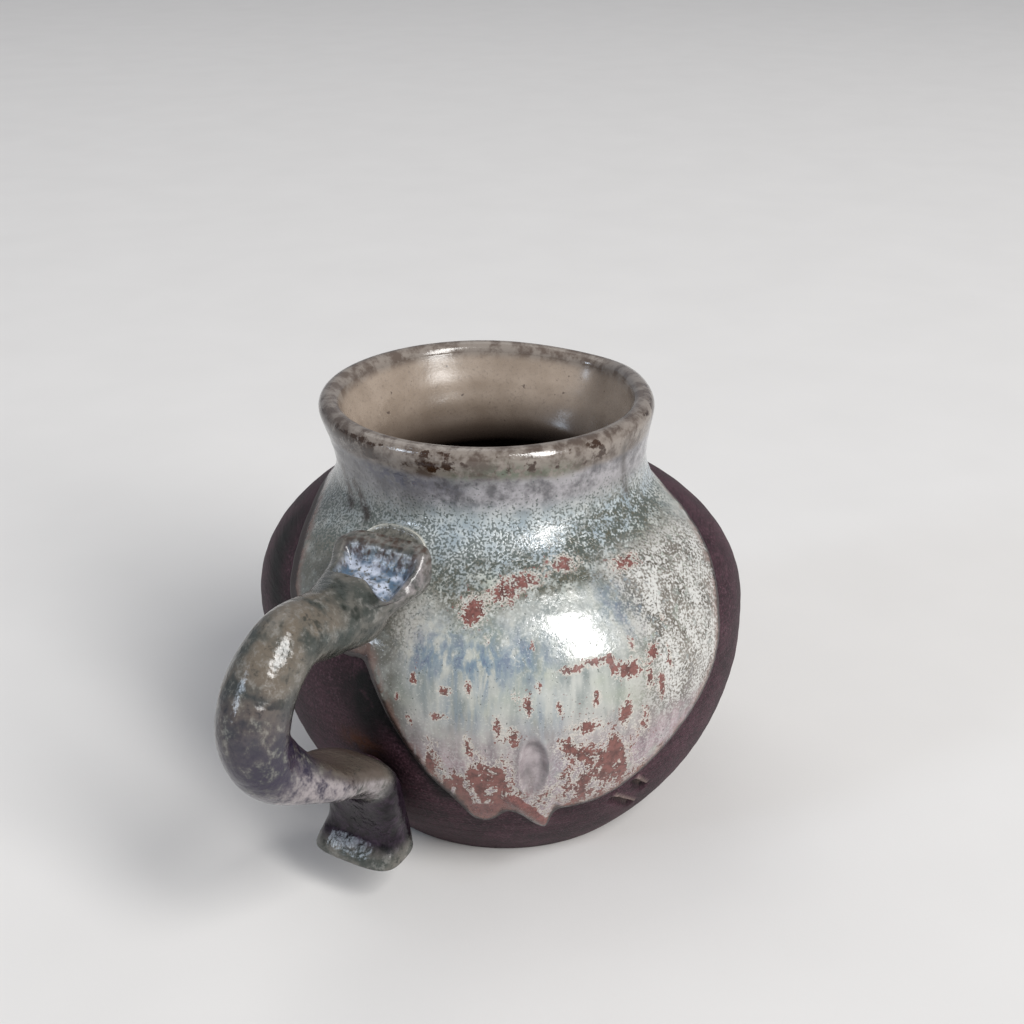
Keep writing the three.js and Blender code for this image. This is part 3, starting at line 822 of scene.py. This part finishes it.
def coat_zones(angle, height):
    """Where each look of the outside glaze shows, 0 to 1, from front angle and height."""
    def beside(middle, far, close):
        return smooth(np.abs(wrapped(angle - middle)), far, close)

    # left is the side away from the lamps, where the painted shade lies
    left = smooth(angle, -16, -30) * smooth(angle, -120, -100)
    overlap = np.clip(line_height(OVERLAP_LINE, angle), 69, 74)
    above = height - blend(overlap, 70, left)
    right = smooth(angle, 24, 40) * smooth(angle, 82, 66)
    zones = {
        "neck": smooth(height, 76, 82),
        "shoulder": smooth(above, -1.5, 1.5) * smooth(height, 83.5, 76) * (1 - 0.6 * left),
        "lavender": 0.95 * smooth(height, 50, 33),
        "milk": (0.9 * smooth(height, 53, 59) * smooth(height, 70, 65) * beside(12, 44, 32)
                 + 0.45 * smooth(height, 44, 34)),
        # Painted shade over the left side, fading out towards the rim
        "painted_shade": 0.85 * left * smooth(height, 84, 76),
        "speck": smooth(height, 87, 74) * smooth(above, -6, 0),
        "moss": 0.4 * left * smooth(height, 60, 64) + 0.9 * hump(above, -1.2, 2.4) * beside(15, 60, 45),
        "frost": right * smooth(height, 36, 46) * smooth(height, 72, 67),
        "rust": (0.3 * smooth(height, 40, 27) * beside(10, 46, 28)
                 + 0.36 * smooth(height, 40, 26) * beside(-172, 40, 24)),
        "puddle": along_stroke(angle, height, *DRIP, 1.8),
        "press": smooth(near(angle, height, PRESS, *PRESS_HALF), 0.2, 0.45),
        "streaks_and_shade": along_strokes(angle, height, STREAKS),
    }
    for key, table in ZONE_SPOTS.items():
        zones[key] = zones.get(key, 0) + near_spots(angle, height, table)
    return limited(zones)


def clay_zones(angle, height):
    """Smoke, painted shade in the gashes, the ember and the torn lips of the gashes on the bare clay."""
    smoke_and_gash_shade = near_spots(angle, height, SMOKE_SPOTS) + along_strokes(angle, height, SMOKE_STROKES)
    return limited({
        # Painted shade: near black along the gashes' slits
        "smoke_and_gash_shade": smoke_and_gash_shade + along_strokes(angle, height, gash_strokes(0.75)),
        "ember": near_spots(angle, height, EMBER_SPOTS),
        "scar": 0.6 * np.clip(along_strokes(angle, height, gash_lip_strokes(0.42)), 0, 1),
    })


def make_body():
    """Thrown clay: one closed skin from the foot over the lip and down the inside."""
    foot = np.array([[0, 0], [FOOT_RADIUS * 0.5, 0], [FOOT_RADIUS - FOOT_EDGE, 0]])
    bare_length = CLAY_SIDE.length_at(BARE_HEIGHT)
    bare = np.arange(0, bare_length, BARE_STEP)
    covered = np.arange(bare_length, CLAY_SIDE.total, COVERED_STEP)
    side = np.stack(CLAY_SIDE.at(np.concatenate([bare, covered]), 0), 1)
    lip = lip_arc(0, 180)[1:-1:3]
    inside = inner_outline()[:-1:6]
    outline = np.vstack([foot, side, lip, inside, [[0, FLOOR]]])
    shaped = np.zeros((len(outline), 1))
    shaped[len(foot):len(foot) + len(side)] = 1
    normals = outline_normals(outline)
    lift = relief(ALL_ROUND, outline[:, 1:2]) * shaped
    radius = outline[:, :1] + normals[:, :1] * lift
    height = outline[:, 1:2] + normals[:, 1:2] * lift
    angle = np.broadcast_to(ALL_ROUND, radius.shape)
    points = around(angle, radius, height)
    make_piece("jug_body", points, clay_zones(angle, height), CLAY, "thrown_body")


def pool_at(height):
    """Extra glaze that gathered in the corner between neck and shoulder."""
    return NECK_POOL * hump(height, NECK_HEIGHT, NECK_POOL_HALF)


def laid_on(angle, length, lift):
    """Points at lengths on the glaze's outline, with their front angles and heights before the lift."""
    angle = np.broadcast_to(angle, length.shape)
    _, height = COAT_SIDE.at(length, 0)
    radius, level = COAT_SIDE.at(length, lift + relief(angle, height))
    return around(angle, radius, level), angle, height


def coat_lift(angle, length):
    """How far a coat stands off the clay, and how far each point is from the glaze's lower edge.

    The edge rolls over on bare clay, and the coat thins out where two dips overlap."""
    edge = lengths_on(GLAZE_EDGE, angle)
    over = lengths_on(OVERLAP_LINE, angle)
    edge_radius, _ = COAT_SIDE.at(edge, 0)
    slope = np.gradient(edge) / np.gradient(np.radians(angle) * np.mean(edge_radius))
    to_edge = np.maximum(length - edge, 0) / np.sqrt(1 + slope**2)
    full = blend(COAT_AT_EDGE, COAT, smooth(to_edge, 0, EDGE_SWELL))
    dip = hump(length, over, OVERLAP_HALF) * smooth(over - edge, 1, 5)
    full = blend(full, np.minimum(full, COAT_AT_OVERLAP), dip)
    _, height = COAT_SIDE.at(length, 0)
    full = full + pool_at(height) * smooth(to_edge, 0, 6)
    roll = np.clip(to_edge / EDGE_ROLL, 0, 1)
    return full * np.sqrt(1 - (1 - roll) ** 2) + COAT_LEAST, to_edge


def coat_piece(name, angle, low, high, tuck, rows, wrap, node):
    """Glaze at front angles, between two lengths along its outline, as a closed shell.

    tuck is how far the upper border dips under another coat."""
    share = np.linspace(0, 1, rows)[:, None]
    length = low + (high - low) * (1 - (1 - share) ** ROW_CROWDING)
    lift, to_edge = coat_lift(angle, length)
    face, face_angle, face_height = laid_on(angle, length, lift - tuck * smooth(share, 0.97, 1))
    back, back_angle, back_height = laid_on(angle, length[::-3], COAT_BACK)
    points = np.concatenate([face, back])
    height = np.concatenate([face_height, back_height])
    zones = coat_zones(np.concatenate([face_angle, back_angle]), height) | rim_zones(height)
    dark_line = DARK_LINE * smooth(angle, -48, -56) * smooth(angle, -100, -85)
    zones["edge"] = np.concatenate([np.maximum(to_edge - dark_line, 0), 0 * back_height])
    numbers = np.arange(height.size).reshape(height.shape)
    ends = [] if wrap else [numbers[:, 0].tolist(), numbers[:, -1].tolist()]
    make_piece(name, points, zones, OUTSIDE_GLAZE, node, True, wrap, ends)


def make_neck_coat():
    """Glaze dipped over the rim and neck, down to the clay or over the lobes."""
    low = np.maximum(lengths_on(GLAZE_EDGE, ALL_ROUND), lengths_on(OVERLAP_LINE, ALL_ROUND))
    coat_piece("neck_coat", ALL_ROUND, low, COAT_TOP, 0, NECK_ROWS, True, "neck_glaze")


def make_belly_coat(name, start, end, node):
    """Lobe of glaze between two front angles, tucked under the neck's coat."""
    angle = np.linspace(start, end, round((end - start) / 360 * AROUND * LOBE_FINENESS))
    low = lengths_on(GLAZE_EDGE, angle)
    high = np.maximum(lengths_on(OVERLAP_LINE, angle) + TUCK_LENGTH, low + 0.05)
    coat_piece(name, angle, low, high, TUCK_DEPTH, LOBE_ROWS, False, node)


def make_liner():
    """Glaze poured round the inside, from the lip to the middle of the floor."""
    inside = inner_outline()
    outline = np.vstack([lip_arc(RIM_COAT_END, 180), inside[1:-1:2], inside[-1:]])
    normals = outline_normals(outline)
    lip_turn = math.radians(RIM_COAT_END)
    normals[0] = (math.cos(lip_turn), math.sin(lip_turn))
    face = outline + normals * COAT
    back = (outline + normals * COAT_LEAST)[::-6]
    face[-1, 0] = 0
    back[0, 0] = 0
    loop = np.vstack([face, back])
    radius, height = loop[:, :1], loop[:, 1:2]
    wall = smooth(height, 20, 60) * smooth(radius, 5, 20) * smooth(height, RIM_HEIGHT, RIM_HEIGHT - 6)
    ripple = 0.05 * np.sin(height * 1.3 + np.radians(ALL_ROUND)) * wall
    height = np.broadcast_to(height, ripple.shape)
    points = around(ALL_ROUND, radius - ripple, height)
    zones = {
        # deep is painted shade, darker further down the inside
        "deep": smooth(height, 86, 72),
        "rim": smooth(height, RIM_HEIGHT - 1.5, RIM_HEIGHT + 0.8),
        "iron": 0.5 * smooth(height, RIM_HEIGHT, RIM_HEIGHT + 1.4),
    }
    make_piece("liner_coat", points, zones, LINER_GLAZE, "liner_glaze", True)


def body_side(height):
    """Radius of the clay and its outward normal at a height."""
    length = CLAY_SIDE.length_at(height)
    radius, _ = CLAY_SIDE.at(length, 0)
    return radius, *CLAY_SIDE.normal_at(length)


def handle_stations():
    """Reach from the axis, drift, height, half width, half depth, squareness along the handle."""
    root_radius, _, _ = body_side(ROOT_HEIGHT)
    root_reach = root_radius - LEAN[0] * lean_at(ROOT_HEIGHT)
    bend_radius, bend_out, bend_up = body_side(BEND_HEIGHT)
    bow = BELLY_RADIUS + FINGER_ROOM + COIL_RADIUS
    bend_reach = bend_radius + bend_out * BEND_STANDOFF
    bend_height = BEND_HEIGHT + bend_up * BEND_STANDOFF
    tail_height = BEND_HEIGHT - TAIL_DROP
    tail_reach = body_side(tail_height)[0] + TAIL_STANDOFF
    return np.array([
        (root_reach - BELLY_WALL, ROOT_DRIFT, ROOT_HEIGHT, *ROOT_SECTION),
        (root_reach + ROOT_RISE, ROOT_DRIFT, ROOT_HEIGHT + COIL_START_RISE / 2, *ROOT_END_SECTION),
        (root_reach + COIL_START, 0, ROOT_HEIGHT + COIL_START_RISE, *COIL_SECTION),
        (bow - BOW_TOP_INSET, 0, ROOT_HEIGHT + BOW_TOP_RISE, *COIL_SECTION),
        (bow, 0, ROOT_HEIGHT - BOW_DROP, *COIL_SECTION),
        (bow - BOW_BOTTOM_INSET, 0, BEND_HEIGHT + BOW_BOTTOM_RISE, *COIL_SECTION),
        ((bend_reach + bow) / 2, 0, BEND_HEIGHT + LOWER_RUN_RISE, *RUN_SECTION),
        (bend_reach, 0, bend_height + BEND_LIFT, *RUN_SECTION),
        (tail_reach, TAIL_DRIFT / 2, tail_height, *TAIL_SECTION),
        (FOOT_RADIUS + TAIL_END_REACH, TAIL_DRIFT, TAIL_CLEARANCE, *TAIL_END_SECTION),
    ])


def catmull_rom(points, share):
    """Centripetal Catmull-Rom curve through points, at shares of its spans."""
    first = 2 * points[0] - points[1]
    last = 2 * points[-1] - points[-2]
    padded = np.vstack([first, points, last])
    place = share * (len(points) - 1)
    span = np.minimum(place.astype(int), len(points) - 2)
    t = (place - span)[:, None]
    p0, p1, p2, p3 = (padded[span + i] for i in range(4))
    gaps = [np.sqrt(np.linalg.norm(b - a, axis=1))[:, None] for a, b in ((p0, p1), (p1, p2), (p2, p3))]
    middle = np.where(gaps[1] < 1e-4, 1, gaps[1])
    before = np.where(gaps[0] < 1e-4, middle, gaps[0])
    after = np.where(gaps[2] < 1e-4, middle, gaps[2])
    out = ((p1 - p0) / before - (p2 - p0) / (before + middle) + (p2 - p1) / middle) * middle
    into = ((p2 - p1) / middle - (p3 - p1) / (middle + after) + (p3 - p2) / after) * middle
    return p1 + out * t + (3 * (p2 - p1) - 2 * out - into) * t**2 + (2 * (p1 - p2) + out + into) * t**3


def squared(wave, squareness):
    """Turns a sine or cosine into that of a rounded square."""
    return np.sign(wave) * np.abs(wave) ** (2 / squareness)


def handle_grid(grow, begin):
    """Rings of the handle from inside the wall to its end, grown by a coat.

    Returns the points, how far along each lies, how deep and how wide it lies in its section from -1 to
    1, and the direction at the end. Deep is 1 below the root, inside the bow and on top of the run."""
    stations = handle_stations()
    share = np.linspace(begin, 1, HANDLE_STEPS)
    centre = catmull_rom(stations[:, :3] * np.array([-1, 1, 1]), share)
    section = catmull_rom(stations[:, 3:], share)
    along = np.gradient(centre, axis=0)
    along /= np.linalg.norm(along, axis=1)[:, None]
    sideways = np.array([0, 1.0, 0])
    across = sideways - along * (along @ sideways)[:, None]
    across /= np.linalg.norm(across, axis=1)[:, None]
    inward = np.cross(along, across)
    travelled = arc_lengths(centre)[:, None]
    turn = np.linspace(0, 2 * np.pi, HANDLE_SIDES, endpoint=False)[None, :]
    wide = squared(np.cos(turn), section[:, 2:3])
    deep = squared(np.sin(turn), section[:, 2:3])
    lumps = 0.28 * np.sin(travelled / 5.1 + 2 * turn) + 0.2 * np.sin(travelled / 3.3 - turn + 1)
    lumps = lumps + 0.22 * np.cos(3 * turn + travelled / 8)
    half_width = section[:, :1] + grow + lumps
    half_depth = section[:, 1:2] + grow + lumps
    points = (centre[:, None, :] + across[:, None, :] * (half_width * wide)[..., None]
              + inward[:, None, :] * (half_depth * deep)[..., None])
    return points, np.broadcast_to(travelled, wide.shape), deep, wide, along[-1]


def press_root(points, face, wide, clear):
    """Thumb pocket on top of the root, a squared crest behind it and a flange on its right.

    face is 1 on top and -1 below, wide is 1 on the left. The root narrows to its underside, most on the
    right. clear is how much wider the pocket is pressed. Returns how strong each mark is."""
    root_radius, _, _ = body_side(ROOT_HEIGHT)
    at_root = smooth(points[..., 2], ROOT_HEIGHT - 22, ROOT_HEIGHT - 15)
    reach = -points[..., 0] - root_radius + LEAN[0] * lean_at(ROOT_HEIGHT)
    reach = np.where(at_root > 0, reach, math.inf)
    outside = np.maximum(reach, 0)
    left = np.maximum(wide, 0)
    right = np.maximum(-wide, 0)
    top = smooth(face, 0.3, 0.8)
    within = smooth(np.abs(wide + 0.05) - 0.12 * clear, 0.82, 0.6)
    pocket = np.exp(-(((reach - POCKET_REACH) / (POCKET_HALF + clear)) ** 6)) * top * within
    crest = hump(outside, 0, 1.8) * top
    flange = hump(reach, 4, 6) * smooth(right, 0.55, 0.9) * smooth(face, -0.3, 0.3)
    side = hump(reach, 5, 4.5) * smooth(right, 0.2, 0.8) * smooth(np.abs(face + 0.45), 0.4, 0.15)
    below = hump(outside, 0, 10) * smooth(-face, -0.5, 1) * at_root
    corner = hump(reach, 1, 4) * top * left
    fall = np.minimum(outside, 9) * smooth(reach, 19, 10) * smooth(right, 0.3, 0.9) * top
    points[..., 1] += below * (6 * right - 2.5 * left) - 1.3 * flange + side + 2.2 * corner
    points[..., 2] += 0.8 * crest + 2.4 * below + 0.8 * flange * top + 0.6 * corner
    points[..., 2] -= POCKET_DEPTH * pocket + 0.4 * fall
    return {"pocket": pocket, "crest": crest, "flange": flange, "side": side}


def capped(points, along, height):
    """Rounds off the free end of a handle grid with a low cap."""
    last = points[-1]
    middle = last.mean(0)
    steps = np.linspace(0, 1, HANDLE_CAP_STEPS + 1)[1:]
    rings = [middle + (last - middle) * math.sqrt(1 - step**3) + along * height * step for step in steps]
    return np.concatenate([points, rings])


def extended(field):
    """A field of the handle's rings, carried on over its cap."""
    return np.concatenate([field, np.repeat(field[-1:], HANDLE_CAP_STEPS, 0)])


def handle_zones(share, deep, wide, height, marks):
    """Where each look of the handle's glaze shows, from the share of its length and its sides."""
    run_end = smooth(share, 0.82, 0.77)
    run_front = smooth(share, 0.5, 0.58) * run_end * smooth(wide, 0.5, -0.3)
    face_up = smooth(deep, 0.1, 0.6)
    pocket = marks["pocket"]
    return limited({
        "olive": smooth(share, 0.16, 0.26) * smooth(share, 0.48, 0.4) * smooth(deep, 0.3, -0.5),
        "violet": smooth(share, 0.34, 0.5) * smooth(share, 0.72, 0.64),
        "pale": run_front * (1 - face_up) + marks["side"] + 0.7 * marks["flange"],
        "brown": smooth(share, 0.56, 0.64) * run_end * face_up,
        # dark: the tail's dark violet glaze, partly painted shade
        "dark": smooth(share, 0.79, 0.83) * smooth(height, 12, 15.5),
        "blue": 1.2 * pocket,
        "iron": 0.7 * marks["crest"] + 2.2 * pocket * (1 - pocket),
    })


def make_handle(name, grow, begin, cap, material, node):
    """The pulled coil or, grown by its coat, the glaze on it."""
    points, travelled, deep, wide, along = handle_grid(grow, begin)
    marks = press_root(points, -deep, wide, COAT - grow)
    total = travelled.max()
    points[..., 2] -= TAIL_TILT * wide * smooth(travelled, total - TAIL_TILT_LENGTH, total)
    slope = (travelled - total + TOE_LENGTH + TOE_END) / TOE_LENGTH
    points[..., 0] -= TOE_BULGE * (eased(slope) - eased(slope - 1)) * (1 - deep) / 2
    points = capped(points, along, cap)
    share, deep, wide = (extended(field) for field in (travelled / total, deep, wide))
    marks = {key: extended(field) for key, field in marks.items()}
    zones = handle_zones(share, deep, wide, points[..., 2], marks)
    inner_end = tuple(reversed(range(HANDLE_SIDES)))
    make_piece(name, points, zones, material, node, ends=[inner_end])


def lens_grid(middle, height, half_width, half_height, lower_share):
    """Rounded patch on the body: share from its middle, turn round it, front angle and outline length."""
    share = np.linspace(0, 1, LENS_RINGS)[:, None]
    turn = np.linspace(0, 2 * np.pi, LENS_SIDES, endpoint=False)[None, :]
    across = share * half_width * squared(np.cos(turn), LENS_SQUARENESS)
    up = share * half_height * squared(np.sin(turn), LENS_SQUARENESS)
    up = np.where(up < 0, up * lower_share, up)
    length = COAT_SIDE.length_at(height) + up
    radius, _ = COAT_SIDE.at(length, 0)
    return share, turn, middle + np.degrees(across / radius), length


def make_lens(name, angle, length, lift, material, node, zones):
    """Closed skin of a patch: its lifted face, and a back just under the clay."""
    face, _, _ = laid_on(angle, length, lift)
    radius, height = COAT_SIDE.at(length, -LENS_SINK)
    points = np.concatenate([face, around(angle, radius, height)[::-1]])
    doubled = {key: np.concatenate([field, field[::-1]]) for key, field in zones.items()}
    make_piece(name, points, doubled, material, node)


def make_collar():
    """Soft clay pressed round the root under the neck's glaze, with a thin ridge at its border."""
    half_width = ROOT_HALF_WIDTH + COLLAR_SPREAD
    half_height = COLLAR_TALL * ROOT_HALF_HEIGHT / body_side(ROOT_HEIGHT)[1] + COLLAR_SPREAD
    share, turn, angle, length = lens_grid(COLLAR_TURN, ROOT_HEIGHT, half_width, half_height, COLLAR_LOWER)
    upper = smooth(np.sin(turn), 0, 0.6)
    ridge = hump(share, COLLAR_RIDGE_PLACE, COLLAR_RIDGE_HALF) * upper
    _, level = COAT_SIDE.at(length, 0)
    thick = COAT + pool_at(level) + COLLAR_FLOW * (1 - share**2) + COLLAR_RIDGE * ridge
    zones = coat_zones(angle, level)
    zones["ridge"] = ridge
    zones["groove"] = upper * smooth(share, COLLAR_RIDGE_PLACE, COLLAR_RIDGE_PLACE - 0.05)
    zones["edge"] = np.full(ridge.shape, 10)
    lift = thick * np.sqrt(1 - share**50)
    make_lens("root_collar", angle, length, lift, LUTED_GLAZE, "root_clay_collar", zones)


def make_pad():
    """Dark slip between the lower bend and the belly."""
    share, _, angle, length = lens_grid(PAD_TURN, PAD_HEIGHT, PAD_RADIUS, PAD_RADIUS, 1)
    make_lens("bend_pad", angle, length, PAD_RISE * (1 - share**2), CLAY, "bend_clay_pad", {})


make_body()
make_neck_coat()
make_belly_coat("front_coat", *FRONT_LOBE, "front_belly_glaze")
make_belly_coat("back_coat", *BACK_LOBE, "back_belly_glaze")
make_liner()
make_handle("handle_coil", 0, COIL_BEGIN, COIL_CAP, CLAY, "handle")
make_handle(
    "handle_coat", COAT, HANDLE_COAT_BEGIN, HANDLE_COAT_CAP, HANDLE_GLAZE, "handle_glaze")
make_collar()
make_pad()

# Stage, in metres: a pale floor and soft light from all round
FLOOR_HALF = 12
WORLD_TINT = (0.9, 0.93, 1, 1)
WORLD_STRENGTH = 0.34

# Lamps: name, azimuth, elevation, distance, width, height, watts, tint
LAMPS = [
    ("window", -108, 38, 3, 0.8, 2.2, 98, (1, 0.99, 0.97)),
    ("far_window", -208, 24, 3, 0.5, 0.75, 15, (0.75, 0.86, 1)),
    ("ceiling", 60, 62, 3, 2.2, 2, 14, (1, 0.98, 0.95)),
]

# Camera: where the photographer stood, aimed level with the belly
LENS_PIXELS = 1500
IMAGE_PIXELS = 1024
SENSOR = 36
AIM = Vector((0, 0, 45 * MM))
AIM_PIXEL = (505.57, 595.56)
CAMERA_ELEVATION = 27.535
CAMERA_DISTANCE = 332.873 * MM


def make_floor():
    corners = [(x * FLOOR_HALF, y * FLOOR_HALF, 0) for x, y in ((-1, -1), (1, -1), (1, 1), (-1, 1))]
    mesh = bpy.data.meshes.new("floor")
    mesh.from_pydata(corners, [], [(0, 1, 2, 3)])
    floor = bpy.data.objects.new("floor", mesh)
    bpy.context.scene.collection.objects.link(floor)
    s = Shader("pale_paper")
    s.noise("cloud", 40, detail=2)
    s.noise("tooth", 0.6)
    s.lay(s.mix("cloud", (218, 216, 214), (224, 222, 220)))
    mesh.materials.append(s.finish(0.9, s.bump("tooth", 0.02), 0.1))


def make_world():
    world = bpy.data.worlds.new("soft_room")
    bpy.context.scene.world = world
    world.use_nodes = True
    sky = world.node_tree.nodes["Background"].inputs
    sky["Color"].default_value = WORLD_TINT
    sky["Strength"].default_value = WORLD_STRENGTH


def aim_thing(name, data, azimuth, elevation, distance, target):
    """Puts a lamp or the camera at a distance from its target, looking back at it."""
    turn, rise = math.radians(azimuth), math.radians(elevation)
    toward = Vector((math.cos(rise) * math.cos(turn), math.cos(rise) * math.sin(turn), math.sin(rise)))
    thing = bpy.data.objects.new(name, data)
    thing.location = target + toward * distance
    thing.rotation_euler = toward.to_track_quat("Z", "Y").to_euler()
    bpy.context.scene.collection.objects.link(thing)
    return thing


def make_lamp(name, azimuth, elevation, distance, width, tall, watts, tint):
    lamp = bpy.data.lights.new(name, "AREA")
    lamp.shape = "RECTANGLE"
    lamp.size = width
    lamp.size_y = tall
    lamp.energy = watts
    lamp.color = tint
    aim_thing(name, lamp, azimuth, elevation, distance, Vector((0, 0, BELLY_HEIGHT * MM)))


def make_camera():
    data = bpy.data.cameras.new("camera")
    data.sensor_width = SENSOR
    data.lens = SENSOR * LENS_PIXELS / IMAGE_PIXELS
    data.shift_x = 0.5 - AIM_PIXEL[0] / IMAGE_PIXELS
    data.shift_y = AIM_PIXEL[1] / IMAGE_PIXELS - 0.5
    data.clip_start = 0.01
    bpy.context.scene.camera = aim_thing("camera", data, FRONT, CAMERA_ELEVATION, CAMERA_DISTANCE, AIM)


make_floor()
make_world()
for lamp_row in LAMPS:
    make_lamp(*lamp_row)
make_camera()
bpy.context.scene.view_settings.view_transform = "Standard"
